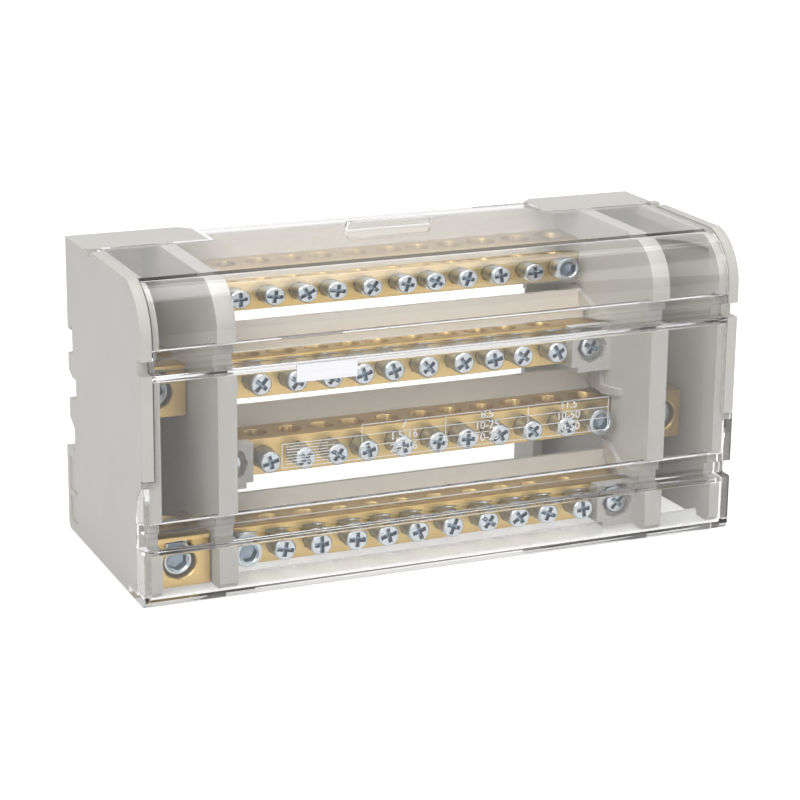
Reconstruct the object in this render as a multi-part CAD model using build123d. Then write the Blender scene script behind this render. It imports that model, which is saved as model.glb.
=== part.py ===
from build123d import *
from math import atan2, cos, sin, sqrt
import os

os.makedirs("parts", exist_ok=True)

# Four-pole modular distribution block. X runs along the block, the front faces -Y and Z is up.
# Side profiles are written as (depth, height): depth in front of the rear face, height above the base.

# Overall size: the plates' lips are the highest edge below the cover's finger rib.
LENGTH = 176.0
DEPTH_FRONT = 68.5
CLIP_BACK = -4.0
HEIGHT = 87.4
HALF = LENGTH / 2
Y_REAR = (DEPTH_FRONT + CLIP_BACK) / 2

# Clearances: parts that slide past each other, and parts that seat on each other.
GAP = 0.3
FIT = 0.05

# End plates, top walls and the steps between them and the cover.
PLATE_T = 3.0
LEDGE_T = 2.4
LIP_STEP = 0.4
TOP_BACK = HEIGHT - 2 * LIP_STEP
TOP_WALL_T = 2.2
TOP_WALL_FRONT = 19.0
REAR_T = 3.0
REAR_CHAMFER = 3.2
RIM_WIDTH = 3.0
RIM_REAR = 15.0
RIM_DROP = 5.0
PLATE_SLOT = (21.5, 25.0)
PLATE_SLOT_DEEP = 2.2
POCKET_DEEP = 1.6
POCKET_DEPTHS = (-1.8, 5.2)

# Places along the block, counted inwards from the end plates.
LUG_OUT = HALF - PLATE_T - 2.6
LUG_IN = LUG_OUT - 15.2
PARTITION_OUT = LUG_IN - 0.4
PARTITION_IN = PARTITION_OUT - 4.5
BAR_TIP = PARTITION_IN - 0.9
X_END = PARTITION_IN - 5.9
BAR_STOP = X_END - 6.4
REAR_IN = PARTITION_IN - 10.3

# Rail seat and sliding feet.
RAIL_HEIGHT = 35.0
RAIL_TOP = HEIGHT - 25.8
RAIL_LOW = RAIL_TOP - GAP - RAIL_HEIGHT
RAIL_SEAT = 4.4
RAIL_WALL = RAIL_SEAT + 1.2
NOTCH_DEEP = 7.0
NOTCH_WALL = NOTCH_DEEP + 1.6
NOTCH_LOW = RAIL_TOP - 20.4
NOTCH_TOP = RAIL_TOP - 15.0
CLIP_BOX_TOP = RAIL_LOW - 1.5
CLIP_BOX_FRONT = 9.0
CLIP_FLOOR = 1.4
CHANNEL_X = (4.0, 18.0)
CHANNEL_FRONT = 3.4
CLIP_HANDLE_X = (8.0, 14.0)
CLIP_HANDLE_H = (4.0, 9.0)

# Clear cover.
COVER_T = 2.0
COVER_TOP = HEIGHT - LIP_STEP
COVER_REAR = TOP_WALL_FRONT + 0.4
BAND_REAR = 6.4
BAND_HALF = REAR_IN - 2 * GAP
SHOULDER_START = DEPTH_FRONT - 12.0
SHOULDER_END = HEIGHT - 15.0
GROOVE_DEPTH = 4.0
GROOVE_1 = (SHOULDER_END - 8.6, SHOULDER_END - 4.6)
GROOVE_2 = (16.5, 20.9)
SKIRT_TOP = 35.2
FLANGE_REAR = DEPTH_FRONT - 15.0
BOTTOM_R = 3.0
EDGE_D = 1.2
EDGE_H = 1.6
WRAP_REAR = DEPTH_FRONT - 7.0
WRAP_EDGE = [
    (DEPTH_FRONT - back, SKIRT_TOP - drop)
    for back, drop in ((0, 0), (2.0, 2.0), (4.7, 4.8), (6.2, 7.6), (7.0, 11.2))
]
RIB_HALF = 12.8
RIB_DEPTHS = (21.4, 23.2)
RIB_RISE = 2.4
RIB_R = 2.2

# Brass bars.
BAR_H = 10.4
BAR_D = 13.5
HEAD_OUT = 6.6
WIRE_SMALL = 7.0
WIRE_MEDIUM = 8.5
WIRE_LARGE = 11.5
MEDIUM_HOLES = 2
CLAMP_SEAT = (BAR_D - WIRE_MEDIUM) / 2 - 0.3
BARRIER_T = 1.6

# Rows: share of the way from the rearmost to the foremost head plane, share of the way from the lowest to
# the highest axis, side of the input lug, and share of the room above the bar that the barrier fills.
HEAD_BACK = REAR_T + GAP + BARRIER_T + FIT + BAR_D + HEAD_OUT
HEAD_FRONT = DEPTH_FRONT - COVER_T - 5.5
AXIS_LOW = 9.4
AXIS_TOP = HEIGHT - 16.4
ROW_SHARES = {1: (0.0, 1.0, 1), 2: (0.487, 0.679, -1), 3: (0.655, 0.339, 1), 4: (1.0, 0.0, -1)}
BARRIER_SHARES = {1: 0.8, 2: 0.95, 3: 0.76, 4: 0.6}
ROWS = {
    number: (HEAD_BACK + out * (HEAD_FRONT - HEAD_BACK), AXIS_LOW + up * (AXIS_TOP - AXIS_LOW), side)
    for number, (out, up, side) in ROW_SHARES.items()
}

# Places of the clamp screws, as shares of the distance from the middle to the end screws.
RIGHT_LUG_SHARES = (-0.809, -0.628, -0.456, -0.294, -0.106, 0.085, 0.243, 0.422, 0.606, 0.801)
LEFT_LUG_SHARES = (-0.817, -0.629, -0.443, -0.277, -0.115, 0.071, 0.264, 0.434, 0.594, 0.789)

# Screws and their holes.
CLAMP_D = 5.8
END_D = 8.0
END_OUT = 6.0
END_SHANK = 6.0
INPUT_D = 9.0
SCREW_GAP = 0.2
FIX_HEAD = 6.8
FIX_HEAD_T = 2.4
FIX_SHANK = 4.0
FIX_DEEP = 6.0
FIX_SINK = FIX_HEAD + 2.2
SCREW_SIDES = 8

# Input lugs.
LUG_H = 14.0
LUG_FRONT = 5.5
LUG_BEHIND = 1.0
LUG_POCKET = 1.9
LUG_WEB = 2.0
LUG_SIDE = 0.75
INPUT_SINK = 1.6

# Supports of the bars' ends.
SHELF_T = 2.0
SHELF_LIP = 1.5
BLOCK_T = 4.6
BLOCK_HALF = 5.6
GUIDE_T = 1.6
GUIDE_RISE = 7.0
ARM_T = 1.4
ARM_REACH = 6.6
LINER_T = 0.8

# Blank label plate let into the cover's front.
LABEL_X = (-45.4, -28.0)
LABEL_H = (SHOULDER_END - 14.2, SHOULDER_END - 9.4)
LABEL_T = 0.4


def at(depth):
    return Y_REAR - depth


def prism(points, x0, x1):
    face = make_face(Polyline(*[(at(d), h) for d, h in points], close=True))
    return extrude(Plane.YZ.offset(x0) * face, amount=x1 - x0)


def curved(points, x0, x1):
    # The entries are corner points; a pair of corners may be joined by ("arc", middle point).
    edges = []
    last = None
    middle = None
    for p in points + [points[0]]:
        if p[0] == "arc":
            middle = p[1]
            continue
        q = (at(p[0]), p[1])
        if last is not None:
            if middle is None:
                edges.append(Line(last, q))
            else:
                edges.append(ThreePointArc(last, (at(middle[0]), middle[1]), q))
                middle = None
        last = q
    face = make_face(Curve() + edges)
    return extrude(Plane.YZ.offset(x0) * face, amount=x1 - x0)


def block(x0, x1, d0, d1, h0, h1):
    return Pos((x0 + x1) / 2, at((d0 + d1) / 2), (h0 + h1) / 2) * Box(
        abs(x1 - x0), abs(d1 - d0), abs(h1 - h0)
    )


def bore_z(x, d, h0, h1, diameter):
    return Pos(x, at(d), (h0 + h1) / 2) * Cylinder(diameter / 2, h1 - h0)


def post_y(x, d0, d1, h, diameter):
    # A screw or its hole along the depth, from depth d0 out to depth d1.
    outline = RegularPolygon(diameter / 2, SCREW_SIDES, major_radius=False)
    return extrude(Pos(x, at(d0), h) * Rot(90, 0, 0) * outline, amount=d1 - d0)


def shoulder_middle(start, top, front):
    # Middle point of the round shoulder, which leaves the front face upright.
    rise = top - SHOULDER_END
    centre = (front**2 - start**2 - rise**2) / (2 * (front - start))
    radius = front - centre
    half = atan2(rise, start - centre) / 2
    return (centre + radius * cos(half), SHOULDER_END + radius * sin(half))


def front_profile(inset, top, bottom):
    # The front outline from the top to the base, moved back by inset from the cover's outer face.
    f = DEPTH_FRONT - inset
    start = SHOULDER_START - 0.1 * inset
    points = [(start, top), ("arc", shoulder_middle(start, top, f)), (f, SHOULDER_END)]
    for low, high in (GROOVE_1, GROOVE_2):
        points += [
            (f, high + inset),
            (f - GROOVE_DEPTH, high + inset),
            (f - GROOVE_DEPTH, low - inset),
            (f, low - inset),
        ]
    return points + [(f, bottom + EDGE_H), (f - EDGE_D, bottom)]


REAR_LINE = [
    (CLIP_BACK + 1.2, 0),
    (CLIP_BACK, CLIP_FLOOR),
    (CLIP_BACK, CLIP_BOX_TOP),
    (RAIL_SEAT, CLIP_BOX_TOP),
    (RAIL_SEAT, RAIL_LOW + 5.5),
    (0, RAIL_LOW + 8.0),
    (0, NOTCH_LOW - 1.2),
    (NOTCH_DEEP, NOTCH_LOW),
    (NOTCH_DEEP, NOTCH_TOP),
    (3.4, NOTCH_TOP),
    (0, NOTCH_TOP + 1.7),
    (0, RAIL_TOP - 8.3),
    (RAIL_SEAT, RAIL_TOP - 8.0),
    (RAIL_SEAT, RAIL_TOP),
    (REAR_T, RAIL_TOP),
    (REAR_T, RAIL_TOP - 1.3),
    (0, RAIL_TOP - 1.3),
]


def row_planes(number):
    # Front and rear plane of the bar, and its lower side.
    head, axis, lug_side = ROWS[number]
    face = head - HEAD_OUT
    return face, face - BAR_D, axis - BAR_H / 2


def shelf_bottom(number):
    face, rear, low = row_planes(number)
    return max(low - FIT - SHELF_T, COVER_T + GAP)


def room_above(number):
    # Height between the bar and the next shelf, or the cover above the highest bar.
    face, rear, low = row_planes(number)
    ceiling = COVER_TOP - COVER_T if number == 1 else shelf_bottom(number - 1)
    return ceiling - low - BAR_H


def outer_plate():
    inset = COVER_T + GAP
    step = TOP_WALL_FRONT - GAP
    slot_floor = HEIGHT - PLATE_SLOT_DEEP
    low_1, high_1 = GROOVE_1
    low_2, high_2 = GROOVE_2
    # Above the skirt the plate's lip stands flush with the cover, below it the cover wraps round.
    upper = [
        (step, TOP_BACK),
        (step, HEIGHT),
        (PLATE_SLOT[0], HEIGHT),
        (PLATE_SLOT[0], slot_floor),
        (PLATE_SLOT[1], slot_floor),
        (PLATE_SLOT[1], HEIGHT),
        (SHOULDER_START, HEIGHT),
        ("arc", shoulder_middle(SHOULDER_START, HEIGHT, DEPTH_FRONT)),
        (DEPTH_FRONT, SHOULDER_END),
        (DEPTH_FRONT, high_1),
        (DEPTH_FRONT - GROOVE_DEPTH, high_1),
        (DEPTH_FRONT - GROOVE_DEPTH, low_1),
        (DEPTH_FRONT, low_1),
        (DEPTH_FRONT, SKIRT_TOP + GAP),
    ]
    f = DEPTH_FRONT - inset
    lower = [
        (f, SKIRT_TOP + GAP),
        (f, high_2 + inset),
        (f - GROOVE_DEPTH, high_2 + inset),
        (f - GROOVE_DEPTH, low_2 - inset),
        (f, low_2 - inset),
        (f, inset + EDGE_H),
        (f - EDGE_D, inset),
        (FLANGE_REAR - GAP, inset),
        (FLANGE_REAR - GAP, 0),
    ]
    plate = curved(REAR_LINE + [(0, TOP_BACK)] + upper + lower, -HALF, -HALF + PLATE_T)
    rebate = [(DEPTH_FRONT + 1, SKIRT_TOP + GAP)]
    rebate += [(d - GAP, h + GAP) for d, h in WRAP_EDGE]
    rebate += [(WRAP_REAR - GAP, -1), (DEPTH_FRONT + 1, -1)]
    plate -= prism(rebate, -HALF - 1, -HALF + COVER_T + GAP)
    # Two side pockets with a rib left between them.
    for low, high in ((3.0, 10.4), (12.0, CLIP_BOX_TOP - 2.6)):
        plate -= block(-HALF - 1, -HALF + POCKET_DEEP, *POCKET_DEPTHS, low, high)
    return plate


def bay_walls():
    # Rim that carries the cover, partition, top wall and rear wall.
    inset = COVER_T + GAP
    ceiling = TOP_BACK - TOP_WALL_T + GAP
    inner = front_profile(inset, ceiling, inset)
    rim = curved([(RIM_REAR, ceiling)] + inner + [(RIM_REAR, inset)],
                 -HALF + PLATE_T - 0.01, -HALF + PLATE_T + LEDGE_T)
    rim_back = DEPTH_FRONT - inset - GROOVE_DEPTH - RIM_WIDTH
    walls = rim - block(-HALF, 0, -10, rim_back, -1, TOP_BACK - RIM_DROP)
    outline = REAR_LINE + [(0, TOP_BACK), (TOP_WALL_FRONT, TOP_BACK), (TOP_WALL_FRONT, ceiling)]
    outline += inner + [(FLANGE_REAR - GAP, inset), (FLANGE_REAR - GAP, 0)]
    walls += curved(outline, -PARTITION_OUT, -PARTITION_IN)
    walls += block(-HALF, -REAR_IN, 0, TOP_WALL_FRONT, TOP_BACK - TOP_WALL_T, TOP_BACK)
    rear = REAR_LINE[3:] + [
        (0, TOP_BACK),
        (REAR_T, TOP_BACK),
        (REAR_T, RAIL_TOP + 2.2),
        (RAIL_WALL, RAIL_TOP + 0.8),
        (RAIL_WALL, NOTCH_TOP + 2.1),
        (NOTCH_WALL, NOTCH_TOP + 1.6),
        (NOTCH_WALL, NOTCH_LOW - 1.6),
        (RAIL_WALL, NOTCH_LOW - 3.0),
        (RAIL_WALL, CLIP_BOX_TOP - 1),
        (RAIL_SEAT, CLIP_BOX_TOP - 1),
    ]
    return walls + prism(rear, -HALF + 0.5, -REAR_IN)


def liner():
    # Raised strip along the partition's front edge, stepped back beside the two lower rows.
    inset = COVER_T + GAP
    ceiling = TOP_BACK - TOP_WALL_T + GAP
    high, low = ROWS[2][1], ROWS[3][1]
    wide, narrow = DEPTH_FRONT - 13.2, DEPTH_FRONT - 8.5
    back = [
        (wide, inset),
        (wide, low - 11.0),
        (narrow, low - 6.0),
        (narrow, low - 2.4),
        (wide, low - 0.8),
        (wide, low + 5.6),
        (narrow, low + 8.0),
        (narrow, high - 8.6),
        (wide, high - 4.1),
        (wide - 4.9, SHOULDER_END - 0.7),
        (wide - 4.9, ceiling),
    ]
    return curved(front_profile(inset, ceiling, inset) + back, -PARTITION_IN - 0.5, -PARTITION_IN + LINER_T)


def bar_supports(number, side):
    # Shelf, barrier guide and cranked arm of one row, and the block in front of the bar's plain end.
    head, axis, lug_side = ROWS[number]
    face, rear, low = row_planes(number)
    root = -PARTITION_IN - 0.5
    under = shelf_bottom(number)
    guide = rear - BARRIER_T - GUIDE_T
    behind = rear - BARRIER_T - 2 * FIT
    shelf_end = -REAR_IN + (SHELF_LIP if lug_side == side else 0)
    # Beside the lug the shelf ends behind the bar's large hole, so that a conductor can pass.
    shelf_front = rear + (BAR_D - WIRE_MEDIUM) / 2 - GAP if lug_side == side else face + 0.4
    body = block(root, shelf_end, guide, shelf_front, under, low - FIT)
    body += block(root, -PARTITION_IN + ARM_T, guide, behind, under, low + GUIDE_RISE)
    if number > 1:
        above = row_planes(number - 1)[0]
        top = low + BAR_H
        ceiling = top + room_above(number) + 0.1
        arm = prism(
            [(rear + 1, top + 2.4), (face - 3, top + 0.8), (face + ARM_REACH, top + 2.6),
             (face + ARM_REACH, top + 4.6), (face - 4, top + 3.4), (above + 0.4, ceiling), (above - 3, ceiling)],
            root, -PARTITION_IN + ARM_T)
        body += arm - block(-PARTITION_IN, 0, behind, rear, low, ceiling + 1)
    if lug_side == side:
        return body
    body += block(root, -BAR_STOP, face + FIT, face + BLOCK_T, axis - BLOCK_HALF, axis + BLOCK_HALF)
    body += block(root, -REAR_IN, rear, face + BLOCK_T, under, low - FIT)
    body -= post_y(-X_END, face + BLOCK_T - FIX_HEAD_T - SCREW_GAP, face + BLOCK_T + 1, axis, FIX_SINK)
    body -= post_y(-X_END, face - 1, face + BLOCK_T, axis, FIX_SHANK + 2 * SCREW_GAP)
    return body


def clip_box():
    # Lower box that guides the rail foot, with its channel open at the top and at the base.
    wall = -REAR_IN - 2.0
    box = block(-HALF + 0.5, -PARTITION_OUT + 0.5, CLIP_BACK, CLIP_BOX_FRONT, CLIP_FLOOR, CLIP_BOX_TOP)
    box += block(-PARTITION_IN - 0.5, wall, CLIP_BACK, CLIP_BACK + REAR_T, CLIP_FLOOR, CLIP_BOX_TOP)
    box += block(wall - REAR_T, wall, CLIP_BACK, CLIP_BOX_FRONT, CLIP_FLOOR, CLIP_BOX_TOP + 1)
    return box


def housing(side):
    body = outer_plate() + bay_walls() + clip_box() + liner()
    for number, (head, axis, lug_side) in ROWS.items():
        body += bar_supports(number, side)
        if lug_side == side:
            # Window for the bar on its way to the lug.
            face, rear, low = row_planes(number)
            body -= block(-PARTITION_OUT - 1, -PARTITION_IN + 0.01, rear - GAP, face + GAP,
                          low - FIT, low + BAR_H + GAP)
    body -= block(-HALF + CHANNEL_X[0], -HALF + CHANNEL_X[1], CLIP_BACK + 1.0, CHANNEL_FRONT,
                  -1, CLIP_BOX_TOP + 1)
    # Chamfer on the rear inner corner of the rear and top walls.
    edge = REAR_CHAMFER * sqrt(2)
    body -= Pos(-REAR_IN, at(0), (CLIP_BOX_TOP + HEIGHT) / 2) * Rot(0, 0, 45) * Box(edge, edge, HEIGHT)
    if side > 0:
        body = mirror(body, about=Plane.YZ)
    return body


def bottom_edge(inset, radius):
    # Rounded lower front edge of the cover, from the front face to its flange.
    f = DEPTH_FRONT - inset
    bow = radius * (1 - sqrt(0.5))
    return [(f, inset + radius), ("arc", (f - bow, inset + bow)), (f - radius, inset), (FLANGE_REAR, inset)]


def cover():
    outer = [(COVER_REAR, COVER_TOP)] + front_profile(0, COVER_TOP, 0)[:-2] + bottom_edge(0, BOTTOM_R)
    roof = COVER_TOP - COVER_T
    inner = [(COVER_REAR, roof)] + front_profile(COVER_T, roof, COVER_T)[:-2]
    inner += bottom_edge(COVER_T, BOTTOM_R - COVER_T + 0.6)
    shell = curved(outer + inner[::-1], -HALF, HALF)
    low, high = GROOVE_2
    wrap = WRAP_EDGE + [(WRAP_REAR, 0)] + bottom_edge(0, BOTTOM_R)[2::-1]
    wrap += [
        (DEPTH_FRONT, low),
        (DEPTH_FRONT - GROOVE_DEPTH, low),
        (DEPTH_FRONT - GROOVE_DEPTH, high),
        (DEPTH_FRONT, high),
    ]
    for s in (-1, 1):
        # The lips of the plates take the place of the shell's ends above the skirt.
        shell -= block(s * (HALF - PLATE_T - GAP), s * (HALF + 1), COVER_REAR - 9, DEPTH_FRONT + 1,
                       SKIRT_TOP, COVER_TOP + 1)
        shell += curved(wrap, *sorted((s * HALF, s * (HALF - COVER_T))))
    # Rear band between the top walls, and the finger rib on top.
    shell += block(-BAND_HALF, BAND_HALF, BAND_REAR, COVER_REAR + 0.5, roof, COVER_TOP)
    rib = block(-RIB_HALF, RIB_HALF, *RIB_DEPTHS, roof + 0.5, COVER_TOP + RIB_RISE)
    shell += fillet(rib.edges().filter_by(Axis.Y).group_by(Axis.Z)[-1], RIB_R)
    # Seat for the blank label plate.
    shell -= block(LABEL_X[0] - FIT, LABEL_X[1] + FIT, DEPTH_FRONT - LABEL_T, DEPTH_FRONT + 1,
                   LABEL_H[0] - FIT, LABEL_H[1] + FIT)
    return shell


def clamp_places(number):
    # X of each clamp screw, with the diameter of the wire hole behind it.
    lug_side = ROWS[number][2]
    shares = RIGHT_LUG_SHARES if lug_side > 0 else LEFT_LUG_SHARES
    order = sorted([share * X_END for share in shares], key=lambda x: -x * lug_side)
    return {x: (WIRE_MEDIUM if i < MEDIUM_HOLES else WIRE_SMALL) for i, x in enumerate(order)}


def bar(number):
    head, axis, lug_side = ROWS[number]
    face, rear, low = row_planes(number)
    middle = face - BAR_D / 2
    ends = sorted((lug_side * (LUG_IN + LUG_POCKET), -lug_side * BAR_TIP))
    body = block(ends[0], ends[1], rear, face, low, low + BAR_H)
    holes = [(x, size, CLAMP_D, face - CLAMP_SEAT) for x, size in clamp_places(number).items()]
    for x, size, screw, floor in holes + [(lug_side * X_END, WIRE_MEDIUM, END_SHANK, middle)]:
        body -= bore_z(x, middle, low - 1, low + BAR_H + 1, size)
        body -= post_y(x, floor, face + 1, axis, screw + SCREW_GAP)
    body -= post_y(-lug_side * X_END, face - FIX_DEEP - 2 * SCREW_GAP, face + 1, axis, FIX_SHANK + SCREW_GAP)
    return body


def clamp_screws(number):
    head, axis, lug_side = ROWS[number]
    tip = head - HEAD_OUT - CLAMP_SEAT + SCREW_GAP
    return Compound(children=[post_y(x, tip, head, axis, CLAMP_D) for x in clamp_places(number)])


def terminal_screws():
    solids = []
    for number, (head, axis, lug_side) in ROWS.items():
        face = head - HEAD_OUT
        x = lug_side * X_END
        # The tip ends just short of the conductor's hole.
        tip = face - (BAR_D - WIRE_MEDIUM) / 2 + SCREW_GAP / 2
        screw = post_y(x, face + GAP, face + END_OUT, axis, END_D)
        screw += post_y(x, tip, face + GAP + 0.1, axis, END_SHANK)
        solids.append(screw)
    return Compound(children=solids)


def fixing_screws():
    solids = []
    for number, (head, axis, lug_side) in ROWS.items():
        face = head - HEAD_OUT
        x = -lug_side * X_END
        front = face + BLOCK_T - SCREW_GAP
        screw = post_y(x, front - FIX_HEAD_T, front, axis, FIX_HEAD)
        screw += post_y(x, face - FIX_DEEP, front - FIX_HEAD_T + 0.1, axis, FIX_SHANK)
        solids.append(screw)
    return Compound(children=solids)


def input_hole(number):
    # Place of the cable hole in the lug: X and depth of its axis.
    face, rear, low = row_planes(number)
    x = ROWS[number][2] * (LUG_OUT - LUG_SIDE - WIRE_LARGE / 2)
    return x, rear - LUG_BEHIND + LUG_WEB + WIRE_LARGE / 2


def lug(number):
    head, axis, lug_side = ROWS[number]
    face, rear, low = row_planes(number)
    front = face + LUG_FRONT
    ends = sorted((lug_side * LUG_IN, lug_side * LUG_OUT))
    body = block(ends[0], ends[1], rear - LUG_BEHIND, front, axis - LUG_H / 2, axis + LUG_H / 2)
    x, hole = input_hole(number)
    body -= bore_z(x, hole, axis - LUG_H, axis + LUG_H, WIRE_LARGE)
    body -= post_y(x, hole, front + 1, axis, INPUT_D + SCREW_GAP)
    pocket = sorted((lug_side * (LUG_IN - 1), lug_side * (LUG_IN + LUG_POCKET + FIT)))
    body -= block(pocket[0], pocket[1], rear - FIT, face + FIT, low - FIT, low + BAR_H + FIT)
    return body


def input_screws():
    solids = []
    for number, (head, axis, lug_side) in ROWS.items():
        x, hole = input_hole(number)
        front = head - HEAD_OUT + LUG_FRONT - INPUT_SINK
        solids.append(post_y(x, hole + WIRE_LARGE / 2 + SCREW_GAP, front, axis, INPUT_D))
    return Compound(children=solids)


def barrier(number):
    face, rear, low = row_planes(number)
    half = PARTITION_IN - SCREW_GAP
    rise = BARRIER_SHARES[number] * room_above(number)
    return block(-half, half, rear - FIT - BARRIER_T, rear - FIT, low, low + BAR_H + rise)


def rail_clip(side):
    # Sliding foot: its nose holds the lower lip of the rail, its handle shows at the base.
    nose, spine = CHANNEL_FRONT - GAP, 0.2
    back = CLIP_BACK + 1.0 + GAP
    points = [
        (back, GAP),
        (nose, GAP),
        (nose, RAIL_LOW - 0.3),
        (nose - 0.2, RAIL_LOW + 1.2),
        (nose - 1.5, RAIL_LOW + 2.0),
        (spine, RAIL_LOW + 2.0),
        (spine, RAIL_LOW - 6.3),
        (back, RAIL_LOW - 6.3),
    ]
    body = prism(points, -HALF + CHANNEL_X[0] + GAP, -HALF + CHANNEL_X[1] - GAP)
    body -= block(-HALF + CLIP_HANDLE_X[0], -HALF + CLIP_HANDLE_X[1], -10, 10, *CLIP_HANDLE_H)
    if side > 0:
        body = mirror(body, about=Plane.YZ)
    return body


def label_plate():
    return block(*LABEL_X, DEPTH_FRONT - LABEL_T, DEPTH_FRONT, *LABEL_H)


pieces = {
    "housing_left": housing(-1),
    "housing_right": housing(1),
    "cover": cover(),
    "label_plate": label_plate(),
    "rail_clip_left": rail_clip(-1),
    "rail_clip_right": rail_clip(1),
    "terminal_screws": terminal_screws(),
    "fixing_screws": fixing_screws(),
    "input_screws": input_screws(),
}
for number in ROWS:
    pieces[f"bar_{number}"] = bar(number)
    pieces[f"barrier_{number}"] = barrier(number)
    pieces[f"lug_{number}"] = lug(number)
    pieces[f"clamp_screws_{number}"] = clamp_screws(number)

for name, shape in pieces.items():
    export_step(shape, f"parts/{name}.step")
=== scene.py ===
# %% [markdown]
# # A power distribution block with a clear cover
#
# Two grey end housings carry four brass bars with rows of zinc-plated screws. A clear cover
# closes the front. The CAD frame already holds every solid at its real size, so this script
# adds what the eye needs: moulded edges, metal and plastic finishes, the printed table and
# soft studio light.

# %% Load the frame
import math

import bmesh
import bpy
import numpy as np
from mathutils import Matrix, Vector


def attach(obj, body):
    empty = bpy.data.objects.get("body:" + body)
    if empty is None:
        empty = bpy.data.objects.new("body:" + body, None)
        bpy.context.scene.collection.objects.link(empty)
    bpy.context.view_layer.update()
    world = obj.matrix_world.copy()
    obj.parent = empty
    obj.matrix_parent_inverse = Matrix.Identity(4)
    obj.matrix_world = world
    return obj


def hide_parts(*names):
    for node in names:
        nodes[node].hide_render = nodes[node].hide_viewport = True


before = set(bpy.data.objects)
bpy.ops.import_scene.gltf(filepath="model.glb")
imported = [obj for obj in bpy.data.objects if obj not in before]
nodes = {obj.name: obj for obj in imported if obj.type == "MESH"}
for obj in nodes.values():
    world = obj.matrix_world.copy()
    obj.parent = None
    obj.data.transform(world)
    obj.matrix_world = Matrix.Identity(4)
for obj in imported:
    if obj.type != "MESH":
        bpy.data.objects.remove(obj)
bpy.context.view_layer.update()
MM = 0.001

# %% [markdown]
# ## Where things are
#
# The model stands on its base with its front towards -Y. Places are easier to think of in
# millimetres: along the block, in depth in front of the rear face, and in height. Y is then
# the rear face's own Y less the depth, and MM turns a place into metres.

# %% Places
LENGTH = 176.0
HALF = LENGTH / 2
FRONT_DEPTH = 68.5
Y_REAR = 32.25
# The large terminal screws and the fixing screws stand this far from the middle.
X_END = 56.4
# Each row of screws: depth of the heads' front, height of the screws' axes, side of the input lug.
ROWS = {1: (25.05, 71.0, 1), 2: (42.558, 51.226, -1), 3: (48.597, 30.282, 1), 4: (61.0, 9.4, -1)}
# The heads stand this far in front of their bar's face.
HEAD_OUT = 6.6
print("rows of screws at heights", [axis for _, axis, _ in ROWS.values()])

# %% [markdown]
# ## Camera
#
# The photograph was taken with a long lens, a little from the left and above. A long lens
# keeps the parallel edges of a small object nearly parallel.

# %% Camera
CAMERA_PLACE = Vector((-0.2696, -0.62233, 0.23917))
CAMERA_TURN = math.radians(-23.42)
CAMERA_RISE = math.radians(16.48)
CAMERA_ROLL = math.radians(0.62)
LENS = 111.59
SENSOR = 36.0

forward = Vector((
    -math.sin(CAMERA_TURN) * math.cos(CAMERA_RISE),
    math.cos(CAMERA_TURN) * math.cos(CAMERA_RISE),
    -math.sin(CAMERA_RISE),
))
level = Vector((math.cos(CAMERA_TURN), math.sin(CAMERA_TURN), 0.0))
upright = level.cross(forward)
right = math.cos(CAMERA_ROLL) * level + math.sin(CAMERA_ROLL) * upright
up = -math.sin(CAMERA_ROLL) * level + math.cos(CAMERA_ROLL) * upright
lens = bpy.data.cameras.new("camera")
lens.lens = LENS
lens.sensor_width = SENSOR
lens.clip_start = 0.01
camera = bpy.data.objects.new("camera", lens)
axes = Matrix((right, up, -forward)).transposed().to_4x4()
camera.matrix_world = Matrix.Translation(CAMERA_PLACE) @ axes
bpy.context.collection.objects.link(camera)
bpy.context.scene.camera = camera
print("camera at", [round(v, 3) for v in CAMERA_PLACE], "lens", LENS)

# %% [markdown]
# ## Helpers for materials
#
# A material is a small network. These helpers only save typing: one makes a node, one links
# two sockets and one works out a value. The effects that several finishes share are node
# groups, built once, and all of them put out the same three values.

# %% Material helpers


def new_material(name):
    """A material whose tree is empty, and the tree."""
    material = bpy.data.materials.new(name)
    material.use_nodes = True
    tree = material.node_tree
    tree.nodes.clear()
    return material, tree


def add(tree, kind, **settings):
    """A node of one kind, with plain settings and input values by name."""
    node = tree.nodes.new(kind)
    for key, value in settings.items():
        if key in node.inputs:
            node.inputs[key].default_value = value
        else:
            setattr(node, key, value)
    return node


def link(tree, source, target):
    """One wire between two sockets."""
    tree.links.new(source, target)


def maths(tree, operation, *values):
    """The output of one Math node, whose inputs are numbers or the outputs of other nodes."""
    node = add(tree, "ShaderNodeMath", operation=operation)
    for socket, value in zip(node.inputs, values):
        if isinstance(value, bpy.types.NodeSocket):
            link(tree, value, socket)
        else:
            socket.default_value = value
    return node.outputs[0]


def new_effect(name, inputs):
    """A node group that puts out a shade, a roughness and a height, with its two end nodes."""
    group = bpy.data.node_groups.new(name, "ShaderNodeTree")
    for label, value in inputs.items():
        kind = "NodeSocketVector" if isinstance(value, tuple) else "NodeSocketFloat"
        socket = group.interface.new_socket(name=label, in_out="INPUT", socket_type=kind)
        socket.default_value = value
    for label in ("Shade", "Roughness", "Height"):
        group.interface.new_socket(name=label, in_out="OUTPUT", socket_type="NodeSocketFloat")
    return group, add(group, "NodeGroupInput"), add(group, "NodeGroupOutput")


# %% [markdown]
# ### Moulded plastic
#
# A moulding is never one flat colour. The mould's spark-eroded skin is a very fine, even
# grain, and the plastic flows in with faint clouds. Two noises of very different scale give
# both. The group puts out a shade to multiply the colour with, a roughness and a height.

# %% Moulded grain group
CLOUD_CONTRAST = 0.10
GRAIN_CONTRAST = 0.05
GRAIN_ROUGHNESS = 0.25


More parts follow.
